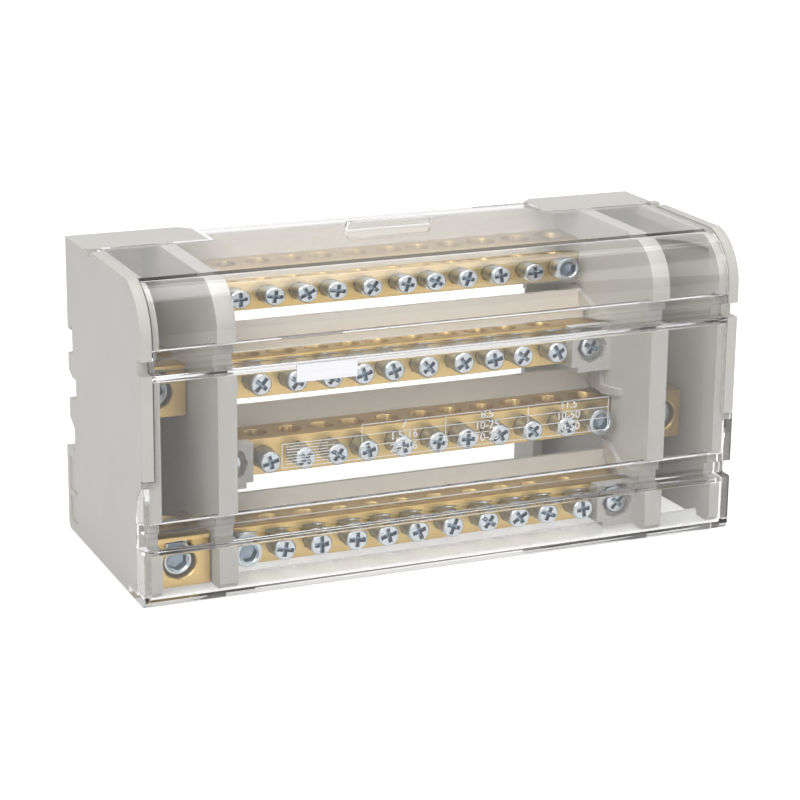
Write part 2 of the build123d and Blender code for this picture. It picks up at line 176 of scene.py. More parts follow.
def moulded_grain():
    """Shade, roughness and height of a moulded skin, from Object coordinates.

    Shade is 1 plus a share of the clouds and a share of the grain, each about its middle.
    """
    inputs = {"Grain Scale": 1600.0, "Cloud Scale": 45.0, "Depth": 0.03, "Base Roughness": 0.5}
    group, into, out = new_effect("moulded grain", inputs)
    place = add(group, "ShaderNodeTexCoord").outputs["Object"]
    grain = add(group, "ShaderNodeTexNoise", Detail=3.0, Roughness=0.6)
    link(group, place, grain.inputs["Vector"])
    link(group, into.outputs["Grain Scale"], grain.inputs["Scale"])
    cloud = add(group, "ShaderNodeTexNoise", Detail=2.0, Roughness=0.5)
    link(group, place, cloud.inputs["Vector"])
    link(group, into.outputs["Cloud Scale"], cloud.inputs["Scale"])
    swing = maths(group, "SUBTRACT", cloud.outputs["Fac"], 0.5)
    clouds = maths(group, "MULTIPLY_ADD", swing, CLOUD_CONTRAST, 1.0)
    fine = maths(group, "SUBTRACT", grain.outputs["Fac"], 0.5)
    shade = maths(group, "MULTIPLY_ADD", fine, GRAIN_CONTRAST, clouds)
    rough = maths(group, "MULTIPLY_ADD", fine, GRAIN_ROUGHNESS, into.outputs["Base Roughness"])
    height = maths(group, "MULTIPLY", grain.outputs["Fac"], into.outputs["Depth"])
    link(group, shade, out.inputs["Shade"])
    link(group, rough, out.inputs["Roughness"])
    link(group, height, out.inputs["Height"])
    return group


GRAIN = moulded_grain()
print("group", GRAIN.name, len(GRAIN.nodes), "nodes")

# %% [markdown]
# ### Drawn and turned metal
#
# A bar is drawn through a die along its length, which leaves fine lines that way. Noise that
# is squeezed across the length and stretched along it gives such lines.

# %% Drawn lines group
LINE_CONTRAST = 0.22
LINE_ROUGHNESS = 0.20


def drawn_lines():
    """Shade, roughness and height of fine parallel lines, from Object coordinates.

    Lines and stains are added, and their sum about its middle moves the shade and the roughness.
    """
    inputs = {"Stretch": (40.0, 1800.0, 1800.0), "Stain Scale": 60.0, "Depth": 0.02,
              "Base Roughness": 0.3}
    group, into, out = new_effect("drawn lines", inputs)
    place = add(group, "ShaderNodeTexCoord").outputs["Object"]
    scaled = add(group, "ShaderNodeVectorMath", operation="MULTIPLY")
    link(group, place, scaled.inputs[0])
    link(group, into.outputs["Stretch"], scaled.inputs[1])
    lines = add(group, "ShaderNodeTexNoise", Scale=1.0, Detail=4.0, Roughness=0.65)
    link(group, scaled.outputs["Vector"], lines.inputs["Vector"])
    stain = add(group, "ShaderNodeTexNoise", Detail=3.0, Roughness=0.55)
    link(group, place, stain.inputs["Vector"])
    link(group, into.outputs["Stain Scale"], stain.inputs["Scale"])
    both = maths(group, "ADD", lines.outputs["Fac"], stain.outputs["Fac"])
    centred = maths(group, "SUBTRACT", both, 1.0)
    shade = maths(group, "MULTIPLY_ADD", centred, LINE_CONTRAST, 1.0)
    rough = maths(group, "MULTIPLY_ADD", centred, LINE_ROUGHNESS, into.outputs["Base Roughness"])
    height = maths(group, "MULTIPLY", lines.outputs["Fac"], into.outputs["Depth"])
    link(group, shade, out.inputs["Shade"])
    link(group, rough, out.inputs["Roughness"])
    link(group, height, out.inputs["Height"])
    return group


LINES = drawn_lines()
print("group", LINES.name, len(LINES.nodes), "nodes")

# %% [markdown]
# ### From groups to finishes
#
# Each finish is one Principled BSDF. The group's shade multiplies the colour, its roughness
# goes in as it is, and its height goes through a Bump node. The plated screws have no drawing
# direction, so their lines are stretched evenly. The zinc in a recess is painted darker: painted
# shade for the shade that the recess casts on itself.

# %% Finishes


def surface(name, group, colour, group_values, **shader):
    """A Principled finish whose colour, roughness and bump vary by a node group."""
    material, tree = new_material(name)
    out = add(tree, "ShaderNodeOutputMaterial")
    skin = add(tree, "ShaderNodeBsdfPrincipled")
    for key, value in shader.items():
        skin.inputs[key.replace("_", " ")].default_value = value
    effect = add(tree, "ShaderNodeGroup", node_tree=group)
    for key, value in group_values.items():
        effect.inputs[key].default_value = value
    tint = add(tree, "ShaderNodeVectorMath", operation="SCALE")
    tint.inputs[0].default_value = colour
    link(tree, effect.outputs["Shade"], tint.inputs["Scale"])
    link(tree, tint.outputs["Vector"], skin.inputs["Base Color"])
    link(tree, effect.outputs["Roughness"], skin.inputs["Roughness"])
    bump = add(tree, "ShaderNodeBump", Strength=0.25, Distance=0.0004)
    link(tree, effect.outputs["Height"], bump.inputs["Height"])
    link(tree, bump.outputs["Normal"], skin.inputs["Normal"])
    link(tree, skin.outputs["BSDF"], out.inputs["Surface"])
    return material


EVEN = (900.0, 900.0, 900.0)
HOUSING_GREY = surface("warm grey moulding", GRAIN, (0.60, 0.585, 0.555), {"Base Roughness": 0.48},
                       Specular_IOR_Level=0.45)
BARRIER_GREY = surface("pale grey strip", GRAIN, (0.86, 0.84, 0.80), {"Base Roughness": 0.35},
                       Specular_IOR_Level=0.5)
FOOT_GREY = surface("foot moulding", GRAIN, (0.50, 0.49, 0.47), {"Base Roughness": 0.5})
BRASS = surface("drawn brass", LINES, (0.68, 0.49, 0.20), {"Base Roughness": 0.38}, Metallic=1.0)
ZINC = surface("bright zinc plate", LINES, (0.56, 0.60, 0.63),
               {"Base Roughness": 0.34, "Stretch": EVEN}, Metallic=1.0)
# Painted shade: a darker, bluer zinc stands in for the shade inside each screw's recess.
ZINC_PAINTED_RECESS_SHADE = surface("zinc with painted recess shade", LINES, (0.30, 0.37, 0.44),
                 {"Base Roughness": 0.38, "Stretch": EVEN}, Metallic=1.0)
PRINT_WHITE = surface("white print", GRAIN, (0.86, 0.86, 0.86), {"Base Roughness": 0.5})
PLATE_SILVER = surface("silver plate", LINES, (0.80, 0.80, 0.83), {"Base Roughness": 0.35},
                       Metallic=0.6)
print("finishes", [material.name for material in bpy.data.materials])

# %% [markdown]
# ### Clear polycarbonate
#
# The cover has a real wall, so refraction at both faces shows its grooves as bright and dark
# lines. Glass blocks light in a path tracer, though: lamps would leave the inside black. So
# shadow rays see a dimmed clear pane instead of the glass. A ray that is caught in the wall
# and thrown back again and again would end in black, where the real edge glows, so after its
# second turn it meets the clear pane too and gets out.

# %% Clear cover
CLEAR_IOR = 1.49
PANE = 0.71
CAUGHT_AFTER = 1.5


def clear_plastic():
    """Clear plastic that is a shade off white, and a clear pane for shadow and caught rays."""
    material, tree = new_material("clear polycarbonate")
    out = add(tree, "ShaderNodeOutputMaterial")
    skin = add(tree, "ShaderNodeBsdfPrincipled")
    skin.inputs["Base Color"].default_value = (0.985, 0.985, 0.98, 1.0)
    skin.inputs["Transmission Weight"].default_value = 1.0
    skin.inputs["IOR"].default_value = CLEAR_IOR
    place = add(tree, "ShaderNodeTexCoord")
    noise = add(tree, "ShaderNodeTexNoise", Scale=120.0, Detail=3.0)
    link(tree, place.outputs["Object"], noise.inputs["Vector"])
    rough = maths(tree, "MULTIPLY_ADD", noise.outputs["Fac"], 0.03, 0.005)
    link(tree, rough, skin.inputs["Roughness"])
    pane = add(tree, "ShaderNodeBsdfTransparent", Color=(PANE, PANE, PANE, 1.0))
    path = add(tree, "ShaderNodeLightPath")
    caught = maths(tree, "GREATER_THAN", path.outputs["Glossy Depth"], CAUGHT_AFTER)
    either = maths(tree, "MAXIMUM", path.outputs["Is Shadow Ray"], caught)
    mix = add(tree, "ShaderNodeMixShader")
    link(tree, either, mix.inputs["Fac"])
    link(tree, skin.outputs["BSDF"], mix.inputs[1])
    link(tree, pane.outputs["BSDF"], mix.inputs[2])
    link(tree, mix.outputs["Shader"], out.inputs["Surface"])
    return material


CLEAR = clear_plastic()
print("cover material", CLEAR.name)

# %% [markdown]
# ## Dressing the CAD nodes
#
# Moulded and machined edges are never razor sharp, and it is the light on the small radius
# that makes an edge readable. A Weld modifier joins the loose triangles first, then a Bevel
# rounds each edge that turns by more than thirty-five degrees.

# %% Finish every node
WELD_WITHIN = 0.00001
ROUND_FROM = math.radians(35.0)
# Finish and edge radius in millimetres, by the first word of a node's name.
FINISHES = {
    "housing": (HOUSING_GREY, 0.30),
    "barrier": (BARRIER_GREY, 0.20),
    "bar": (BRASS, 0.20),
    "lug": (BRASS, 0.30),
    "rail": (FOOT_GREY, 0.25),
    "label": (PLATE_SILVER, 0.08),
}


def finish(node, material, radius):
    """Gives a CAD node its material and small rounded edges."""
    node.data.materials.clear()
    node.data.materials.append(material)
    weld = node.modifiers.new("join", "WELD")
    weld.merge_threshold = WELD_WITHIN
    bevel = node.modifiers.new("edges", "BEVEL")
    bevel.width = radius * MM
    bevel.segments = 2
    bevel.limit_method = "ANGLE"
    bevel.angle_limit = ROUND_FROM
    bevel.harden_normals = True


first_word = {name: name.split("_")[0] for name in nodes}
dressed = {name: FINISHES[word] for name, word in first_word.items() if word in FINISHES}
for name, (material, radius) in dressed.items():
    finish(nodes[name], material, radius)
print("finished", len(dressed), "nodes")

# %% [markdown]
# ## Screws
#
# A clamp screw is a headless screw whose end is chamfered and carries a cross. The end screws
# are larger, with a hexagon socket, and the ones that hold the bars have a pan head. All are
# turned, so one surface serves them all: rings round an axis, from the tip to the front, then
# down into the recess. Only the recess isn't round, so its rings get a radius that depends on
# the angle. One mesh holds a whole group, each screw turned by its own angle as a screwdriver
# would leave it.

# %% Cross recess
# The reach of the cross along each arm, and half the width of an arm.
CROSS = (2.35, 1.95, 0.58)
CROSS_DEPTH = 1.5


def cross_angles(reach, cross_reach, half_width):
    """Angles of the samples: the corners of a cross and a few between, mirrored into four quarters."""
    first = np.radians([0.0, 0.0, 29.0, 45.0, 61.0, 0.0, 90.0])
    first[1] = math.atan2(half_width, reach)
    first[5] = math.atan2(cross_reach, half_width)
    half = np.concatenate([first, np.pi - first[-2::-1]])
    return np.concatenate([half, 2 * np.pi - half[-2:0:-1]])


def cross_radius(angle, reach, cross_reach, half_width):
    """A ray leaves an arm at the nearer of its end and its side, and the cross at the farther arm."""
    c = np.abs(np.cos(angle)) + 1e-6
    s = np.abs(np.sin(angle)) + 1e-6
    along = np.minimum(reach / c, half_width / s)
    across = np.minimum(cross_reach / s, half_width / c)
    return np.maximum(along, across)


cross = cross_angles(*CROSS)
star = cross_radius(cross, *CROSS)
cross_rings = [
    (star * 1.05, 0.0), (star, 0.12), (star * 0.84, CROSS_DEPTH - 0.3), (star * 0.3, CROSS_DEPTH),
]
print("cross recess", len(cross), "samples, radius", star.min().round(2), "to", star.max().round(2))

# %% New pieces


def solid_mesh(name, places, faces):
    """A mesh from places in metres and faces, which are turned outwards."""
    mesh = bpy.data.meshes.new(name)
    mesh.from_pydata(places.tolist(), [], faces)
    shape = bmesh.new()
    shape.from_mesh(mesh)
    bmesh.ops.recalc_face_normals(shape, faces=shape.faces)
    shape.to_mesh(mesh)
    shape.free()
    return mesh


def new_piece(name, places, faces, materials, body, crease=30.0):
    """An object with outward faces, smooth but for its creases, on a body."""
    mesh = solid_mesh(name, places, faces)
    mesh.shade_smooth()
    mesh.set_sharp_from_angle(angle=math.radians(crease))
    for material in materials:
        mesh.materials.append(material)
    piece = bpy.data.objects.new(name, mesh)
    bpy.context.collection.objects.link(piece)
    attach(piece, body)
    return piece


# %% Screw surface


def screws(name, centres, seed, angle, rings, recess):
    """Closed screws from rings of (radius, setback) and recess rings of (radii, setback).

    A place is the screw's centre plus the ring's radius times the cosine and sine of the
    angle, turned by the screw's own angle, and the setback behind the front.
    """
    count = len(angle)
    radii = np.array([np.full(count, r) for r, _ in rings] + [r for r, _ in recess])
    setback = np.array([w for _, w in rings] + [w for _, w in recess])
    around = np.stack([radii * np.cos(angle), radii * np.sin(angle)], axis=-1).reshape(-1, 2)
    flat = np.vstack([[0.0, 0.0], around, [0.0, 0.0]])
    back = np.concatenate([setback[:1], np.repeat(setback, count), setback[-1:]])
    turn = np.random.default_rng(seed).uniform(0, np.pi, len(centres))
    c, s = np.cos(turn)[:, None], np.sin(turn)[:, None]
    centres = np.array(centres)
    x = centres[:, :1] + c * flat[:, 0] - s * flat[:, 1]
    h = centres[:, 2:] + s * flat[:, 0] + c * flat[:, 1]
    y = Y_REAR - centres[:, 1:2] + back
    places = np.stack([x, y, h], axis=-1).reshape(-1, 3) * MM
    i, j = np.meshgrid(np.arange(len(setback) - 1), np.arange(count), indexing="ij")
    k = np.mod(j + 1, count)
    quads = np.stack([i * count + j, i * count + k, (i + 1) * count + k, (i + 1) * count + j], -1)
    quads = 1 + quads.reshape(-1, 4)
    end = len(flat) - 1
    ring = np.arange(count)
    first = np.stack([np.zeros(count, int), 1 + np.roll(ring, -1), 1 + ring], -1)
    inmost = end - count
    last = np.stack([np.full(count, end), inmost + ring, inmost + np.roll(ring, -1)], -1)
    shift = np.arange(len(centres))[:, None, None] * len(flat)
    faces = (quads + shift).reshape(-1, 4).tolist()
    faces += (first + shift).reshape(-1, 3).tolist() + (last + shift).reshape(-1, 3).tolist()
    piece = new_piece(name, places, faces, (ZINC, ZINC_PAINTED_RECESS_SHADE), "block")
    # Faces below the recess's mouth get the darker zinc, which is painted shade for the recess.
    deep = np.tile(quads[:, 0] > len(rings) * count, len(centres))
    marks = np.concatenate([deep, np.zeros(first.shape[0] * len(centres), bool),
                            np.ones(last.shape[0] * len(centres), bool)])
    piece.data.polygons.foreach_set("material_index", marks.astype(np.int32))
    print(name, len(centres), "screws,", len(faces), "faces")
    return piece


# %% [markdown]
# ### Small clamp screws
#
# Ten stand in a row in front of each bar and press the wires. What shows of a screw is a
# little wider than its thread, so it hides the mouth of its hole. The places along a bar are
# shares of the way to its large screw, because the spacing isn't quite even.

# %% Clamp screws
CLAMP_LENGTH = 8.6
CLAMP_THREAD = 2.9
CLAMP_SHOWN = 3.15
CLAMP_SHOWN_LENGTH = 6.3
RIGHT_LUG_SHARES = (-0.809, -0.628, -0.456, -0.294, -0.106, 0.085, 0.243, 0.422, 0.606, 0.801)
LEFT_LUG_SHARES = (-0.817, -0.629, -0.443, -0.277, -0.115, 0.071, 0.264, 0.434, 0.594, 0.789)
clamp_rings = [
    (CLAMP_THREAD - 0.4, CLAMP_LENGTH), (CLAMP_THREAD, CLAMP_LENGTH - 0.4),
    (CLAMP_THREAD, CLAMP_SHOWN_LENGTH + 0.1), (CLAMP_SHOWN, CLAMP_SHOWN_LENGTH),
    (CLAMP_SHOWN, 0.8), (CLAMP_SHOWN - 0.1, 0.35), (CLAMP_SHOWN - 0.45, 0.0),
]
for number, (head, axis, lug_side) in ROWS.items():
    shares = RIGHT_LUG_SHARES if lug_side > 0 else LEFT_LUG_SHARES
    places = [(share * X_END, head, axis) for share in shares]
    group = screws(f"clamp_screw_set_{number}", places, number, cross, clamp_rings, cross_rings)
    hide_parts(f"clamp_screws_{number}")

# %% [markdown]
# ### Large screws
#
# One large screw clamps the thick wire at the lug's end of each bar: a wide head in front of
# the bar and a thinner shank in it. A headless one clamps the cable in each input lug. Both
# are driven by a hexagon key, so only their recess changes: a round mouth, then flat walls.

# %% Terminal screws
END_OUT = 6.0
END_HEAD = 4.0
END_HEAD_BACK = 5.7
END_SHANK = 3.0
END_LENGTH = 8.4
END_FLATS = 4.4
hexagon = np.radians(np.arange(0.0, 360.0, 15.0))


def hexagon_radius(angle, flats):
    """Half the width across flats, over the cosine of the angle from the nearest flat's middle."""
    return 0.5 * flats / np.cos(np.mod(angle, np.pi / 3) - np.pi / 6)


def hexagon_recess(flats, mouth, sink, depth):
    """Recess rings: a round mouth that narrows, six walls from there down, and a blunt end."""
    walls = hexagon_radius(hexagon, flats)
    round_mouth = np.full(len(hexagon), mouth)
    return [(round_mouth, sink), (walls, sink + 0.1), (walls, depth), (walls * 0.3, depth + 0.6)]


end_rings = [
    (END_SHANK - 0.5, END_LENGTH), (END_SHANK, END_LENGTH - 0.4), (END_SHANK, END_HEAD_BACK),
    (END_HEAD - 0.4, END_HEAD_BACK), (END_HEAD, END_HEAD_BACK - 0.4), (END_HEAD, 0.6),
    (END_HEAD - 0.2, 0.2), (END_HEAD - 0.6, 0.0), (2.85, 0.0),
]
end_recess = hexagon_recess(END_FLATS, mouth=2.62, sink=0.25, depth=3.0)
places = [(side * X_END, head - HEAD_OUT + END_OUT, axis) for head, axis, side in ROWS.values()]
group = screws("terminal_screw_set", places, 11, hexagon, end_rings, end_recess)
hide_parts("terminal_screws")

# %% Input screws
INPUT_X = 75.9
INPUT_FRONT = 3.9
INPUT_LENGTH = 7.65
INPUT_THREAD = 4.5
INPUT_FLATS = 5.0
input_rings = [
    (INPUT_THREAD - 0.5, INPUT_LENGTH), (INPUT_THREAD, INPUT_LENGTH - 0.5), (INPUT_THREAD, 0.9),
    (INPUT_THREAD - 0.3, 0.35), (INPUT_THREAD - 0.75, 0.0), (3.3, 0.0),
]
input_recess = hexagon_recess(INPUT_FLATS, mouth=2.98, sink=0.3, depth=3.4)
places = [(side * INPUT_X, head - HEAD_OUT + INPUT_FRONT, axis) for head, axis, side in ROWS.values()]
group = screws("input_screw_set", places, 12, hexagon, input_rings, input_recess)
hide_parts("input_screws")

# %% [markdown]
# ### Collars in the lugs
#
# The lug's screw holes are drilled round. A cutter would change the lug's own mesh, so a thin
# brass collar lines each hole instead: a section with a chamfered mouth, carried round the
# hole's axis.

# %% Lug hole collars
LUG_FRONT = 5.5
COLLAR_PROUD = 0.01
COLLAR_INNER = 4.58
COLLAR_OUTER = 5.02
COLLAR_LENGTH = 6.5
COLLAR_CHAMFER = 0.35


def collars(name, centres, inner, outer, length):
    """Closed rings: each corner of the section, at its radius and setback, goes round each axis."""
    turn = np.radians(np.arange(0.0, 360.0, 7.5))
    radii = np.array([inner, inner, inner + COLLAR_CHAMFER, outer, outer])
    setback = np.array([length, COLLAR_CHAMFER, 0.0, 0.0, length])
    u = radii[:, None] * np.cos(turn)
    v = radii[:, None] * np.sin(turn)
    w = np.repeat(setback[:, None], len(turn), axis=1)
    centres = np.array(centres)[:, :, None, None]
    places = np.stack([centres[:, 0] + u, Y_REAR - centres[:, 1] + w, centres[:, 2] + v], -1)
    rows, n = len(radii), len(turn)
    i, j = np.meshgrid(np.arange(rows), np.arange(n), indexing="ij")
    near, far = i * n, (i + 1) % rows * n
    k = (j + 1) % n
    quads = np.stack([near + j, near + k, far + k, far + j], -1).reshape(-1, 4)
    quads = quads + rows * n * np.arange(len(centres))[:, None, None]
    faces = quads.reshape(-1, 4).tolist()
    return new_piece(name, places.reshape(-1, 3) * MM, faces, (BRASS,), "block")


collar_front = LUG_FRONT + COLLAR_PROUD
places = [(side * INPUT_X, head - HEAD_OUT + collar_front, axis) for head, axis, side in ROWS.values()]
rims = collars("lug_hole_collars", places, COLLAR_INNER, COLLAR_OUTER, COLLAR_LENGTH)
print("collars", len(rims.data.polygons), "faces")

# %% [markdown]
# ### Fixing screws
#
# At its other end each bar is held to the housing by a pan-head screw, which has the same
# cross as the small ones, so its rings are new and its recess is used again.

# %% Fixing screws
FIX_FRONT = 4.4
PAN_HEAD = 3.4
PAN_HEIGHT = 2.4
PAN_SHANK = 2.0
PAN_LENGTH = 10.4
pan_rings = [
    (PAN_SHANK - 0.3, PAN_LENGTH), (PAN_SHANK, PAN_LENGTH - 0.3), (PAN_SHANK, PAN_HEIGHT),
    (PAN_HEAD, PAN_HEIGHT), (PAN_HEAD, 1.1), (PAN_HEAD - 0.15, 0.55), (PAN_HEAD - 0.5, 0.18),
    (PAN_HEAD - 0.95, 0.0),
]
places = [(-side * X_END, head - HEAD_OUT + FIX_FRONT, axis) for head, axis, side in ROWS.values()]
group = screws("fixing_screw_set", places, 13, cross, pan_rings, cross_rings)
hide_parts("fixing_screws")

# %% [markdown]
# ## The clear cover
#
# The cover is one clear moulding with a wall of two millimetres. Its look lives in its
# corners: each rounded corner bends the light into a bright or a dark line. So its outline is
# worked out finely, with every corner replaced by a small parabola, and is carried along the
# block. The wrapped ends, the rear band and the finger rib are joined to it as solids, because
# glass may have no wall inside its wall.

# %% Rounded outlines


def soften(corners, size, steps=6):
    """Each corner becomes a parabola: (1-s)^2 start + 2s(1-s) corner + s^2 end.

    It starts and ends at size from the corner, or nearer where a side is short.
    """
    corners = np.array(corners)
    before = np.roll(corners, 1, axis=0) - corners
    after = np.roll(corners, -1, axis=0) - corners
    near = np.linalg.norm(before, axis=1, keepdims=True)
    far = np.linalg.norm(after, axis=1, keepdims=True)
    wanted = np.broadcast_to(np.reshape(size, (-1, 1)), near.shape)
    reach = np.minimum(wanted, 0.45 * np.minimum(near, far))
    start = corners + before / near * reach
    end = corners + after / far * reach
    s = np.linspace(0.0, 1.0, steps + 1)[None, :, None]
    curve = (1 - s) ** 2 * start[:, None] + 2 * s * (1 - s) * corners[:, None] + s**2 * end[:, None]
    return curve.reshape(-1, 2)


def drop_doubles(points, apart=0.004):
    """Leaves out each point that lies almost on the one before it."""
    step = np.linalg.norm(points - np.roll(points, 1, axis=0), axis=1)
    return points[step > apart]


def arc(start, end, steps=28):
    """Round stretch that ends upright: a circle about a centre level with its end."""
    (d0, h0), (d1, h1) = start, end
    centre = (d1**2 - d0**2 - (h0 - h1) ** 2) / (2 * (d1 - d0))
    radius = d1 - centre
    turn = np.linspace(math.atan2(h0 - h1, d0 - centre), 0.0, steps + 1)
    return np.stack([centre + radius * np.cos(turn), h1 + radius * np.sin(turn)], -1)


# %% Cover outline
COVER_WALL = 2.0
COVER_TOP = 87.0
COVER_REAR = 19.4
FLANGE_REAR = FRONT_DEPTH - 15.0
SHOULDER_START = FRONT_DEPTH - 12.0
SHOULDER_END = 72.4
GROOVE_DEPTH = 4.0
GROOVES = ((SHOULDER_END - 8.6, SHOULDER_END - 4.6), (16.5, 20.9))
GROOVE_ROUND = 0.7
BOTTOM_BEND = 3.0


def front_line(inset):
    """The cover's outline from the roof's rear to the flange's rear, moved in by inset."""
    front = FRONT_DEPTH - inset
    start = (SHOULDER_START - 0.1 * inset, COVER_TOP - inset)
    points = [(COVER_REAR, COVER_TOP - inset)] + arc(start, (front, SHOULDER_END)).tolist()
    sizes = [0.0, 0.5] + [0.0] * (len(points) - 2)
    for low, high in GROOVES:
        points += [(front, high + inset), (front - GROOVE_DEPTH, high + inset),
                   (front - GROOVE_DEPTH, low - inset), (front, low - inset)]
        sizes += [GROOVE_ROUND] * 4
    points += [(front, inset), (FLANGE_REAR, inset)]
    sizes += [BOTTOM_BEND - 0.7 * inset, 0.0]
    return points, sizes


outer, outer_sizes = front_line(0.0)
inner, inner_sizes = front_line(COVER_WALL)
around = np.array(outer + inner[::-1])
sizes = np.array(outer_sizes + inner_sizes[::-1])
section = drop_doubles(soften(around, sizes))
print("cover section", len(section), "points")

# %% [markdown]
# ### The cover as one solid
#
# The carried outline is cut away beside the housings' lips, and the wrapped ends, the rear
# band and the finger rib are joined to it. An exact boolean keeps one closed wall, which the
# refraction needs. At last a shallow seat for the label plate is cut into the front.

# %% Solids from outlines


def prism(outline, start, end, along="x"):
    """A closed outline carried from start to end along X, or along the depth."""
    outline = np.array(outline)
    count = len(outline)
    first, second = np.tile(outline[:, 0], 2), np.tile(outline[:, 1], 2)
    carried = np.repeat([start, end], count)
    if along == "x":
        places = np.stack([carried, Y_REAR - first, second], -1)
    else:
        places = np.stack([first, Y_REAR - carried, second], -1)
    j = np.arange(count)
    k = np.roll(j, -1)
    faces = np.stack([j, k, k + count, j + count], -1).tolist()
    faces += [j.tolist(), (j + count).tolist()]
    return places * MM, faces


def shape_of(name, outline, start, end, along="x"):
    """A scratch object from a prism."""
    made = bpy.data.objects.new(name, solid_mesh(name, *prism(outline, start, end, along)))
    bpy.context.collection.objects.link(made)
    return made


def combine(base, tool, operation):
    """Joins or cuts one solid with another and drops the tool."""
    change = base.modifiers.new("change", "BOOLEAN")
    change.object = tool
    change.operation = operation
    change.solver = "EXACT"
    bpy.context.view_layer.update()
    graph = bpy.context.evaluated_depsgraph_get()
    mesh = bpy.data.meshes.new_from_object(base.evaluated_get(graph))
    base.modifiers.clear()
    base.data = mesh
    bpy.data.objects.remove(tool, do_unlink=True)


def box_outline(a0, a1, b0, b1):
    """Four corners of a rectangle."""
    return [(a0, b0), (a1, b0), (a1, b1), (a0, b1)]


# %% Cover solid
LIP_GAP = 3.3
SKIRT_TOP = 35.2
WRAP_BACK = 61.5
WRAP_CURVE = [(66.5, 33.2), (63.8, 30.4), (62.3, 27.6)]
BAND_HALF = 51.4
BAND_REAR = 6.4
RIB_HALF = 12.8
RIB_RISE = 2.4
RIB_DEPTHS = (21.4, 23.2)
SEAT_X = (-45.45, -27.95)
SEAT_HEIGHTS = (58.15, 63.05)
SEAT_DEPTH = 0.4
CREASE = math.radians(25.0)

cover = shape_of("clear_cover", section, -HALF, HALF)
groove_low, groove_high = GROOVES[1]
groove_floor = FRONT_DEPTH - GROOVE_DEPTH
wrap_line = [(FRONT_DEPTH, SKIRT_TOP)] + WRAP_CURVE + [(WRAP_BACK, 24.0), (WRAP_BACK, 0.0)]
wrap_line += [(FRONT_DEPTH, 0.0), (FRONT_DEPTH, groove_low), (groove_floor, groove_low)]
wrap_line += [(groove_floor, groove_high), (FRONT_DEPTH, groove_high)]
wrap_sizes = [0.0] + [1.0] * 4 + [0.0, BOTTOM_BEND] + [GROOVE_ROUND] * 4
wrap_section = drop_doubles(soften(wrap_line, np.array(wrap_sizes)))
lip_room = box_outline(COVER_REAR - 9, FRONT_DEPTH + 1, SKIRT_TOP, COVER_TOP + 1)
for side in (-1, 1):
    ends = sorted((side * (HALF - LIP_GAP), side * (HALF + 1)))
    combine(cover, shape_of("lip room", lip_room, *ends), "DIFFERENCE")
    ends = sorted((side * HALF, side * (HALF - COVER_WALL)))
    combine(cover, shape_of("wrap", wrap_section, *ends), "UNION")
band = box_outline(BAND_REAR, COVER_REAR + 0.5, COVER_TOP - COVER_WALL, COVER_TOP)
combine(cover, shape_of("band", band, -BAND_HALF, BAND_HALF), "UNION")
rib = box_outline(-RIB_HALF, RIB_HALF, COVER_TOP - 1.5, COVER_TOP + RIB_RISE)
rib = soften(rib, np.array([0.02, 0.02, 2.2, 2.2]))
combine(cover, shape_of("rib", rib, *RIB_DEPTHS, "depth"), "UNION")
seat = box_outline(FRONT_DEPTH - SEAT_DEPTH, FRONT_DEPTH + 1, *SEAT_HEIGHTS)
combine(cover, shape_of("seat", seat, *SEAT_X), "DIFFERENCE")
cover.data.materials.clear()
cover.data.materials.append(CLEAR)
cover.data.shade_smooth()
cover.data.set_sharp_from_angle(angle=CREASE)
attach(cover, "cover")
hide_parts("cover")
print("cover", len(cover.data.polygons), "faces")

# %% [markdown]
# ## The printed table
#
# A small table of wire sizes is printed in white on the middle of the cover. Its lines are thin
# strips just behind the cover's inner face, and its plain numbers are text turned into mesh.

# %% Table lines
PRINT_DEPTH = FRONT_DEPTH - COVER_WALL - 0.06
PRINT_T = 0.03
LINE = 0.22
COLUMNS = (-49.05, -26.15, -1.5, 23.45, 48.35)
LEVELS = (44.0, 41.1, 38.0, 34.5)
left, inner_left, right_end = COLUMNS[0], COLUMNS[1], COLUMNS[4]
strips = [(inner_left, right_end, LEVELS[0]), (left, right_end, LEVELS[1]),
          (inner_left, right_end, LEVELS[2]), (left, right_end, LEVELS[3])]
# Seven short strips, every other one a little shorter, fill the table's first column.
strips += [(-48.0, -36.0 + 2 * (i % 2), 40.3 - 0.8 * i) for i in range(7)]
posts = [(left, LEVELS[3], LEVELS[1])] + [(x, LEVELS[3], LEVELS[0]) for x in COLUMNS[1:]]
flat = [(a, b, h - LINE / 2, h + LINE / 2) for a, b, h in strips]
flat += [(x - LINE / 2, x + LINE / 2, a, b) for x, a, b in posts]
flat = np.array(flat)
# Each strip is a thin box: the four corners of its rectangle, at two depths.
corner = np.array([(0, 2), (1, 2), (1, 3), (0, 3)])
x = np.tile(flat[:, corner[:, 0]], 2)
h = np.tile(flat[:, corner[:, 1]], 2)
y = Y_REAR - PRINT_DEPTH + np.repeat([[0.0, PRINT_T]], 4, axis=1) + 0 * x
line_places = np.stack([x, y, h], -1).reshape(-1, 3) * MM
box_faces = np.array([(0, 1, 2, 3), (7, 6, 5, 4), (0, 4, 5, 1),
                      (1, 5, 6, 2), (2, 6, 7, 3), (3, 7, 4, 0)])
line_faces = (box_faces + 8 * np.arange(len(flat))[:, None, None]).reshape(-1, 4).tolist()
print("table lines", len(flat))

# %% Table numbers
TABLE_ROWS = (
    (42.0, ("7", "8.5", "11.5")),
    (38.9, ("1.5-16", "10-25", "10-50")),
    (35.5, ("2.5-16", "10-25", "10-50")),
)
NUMBER_SIZE = 3.2


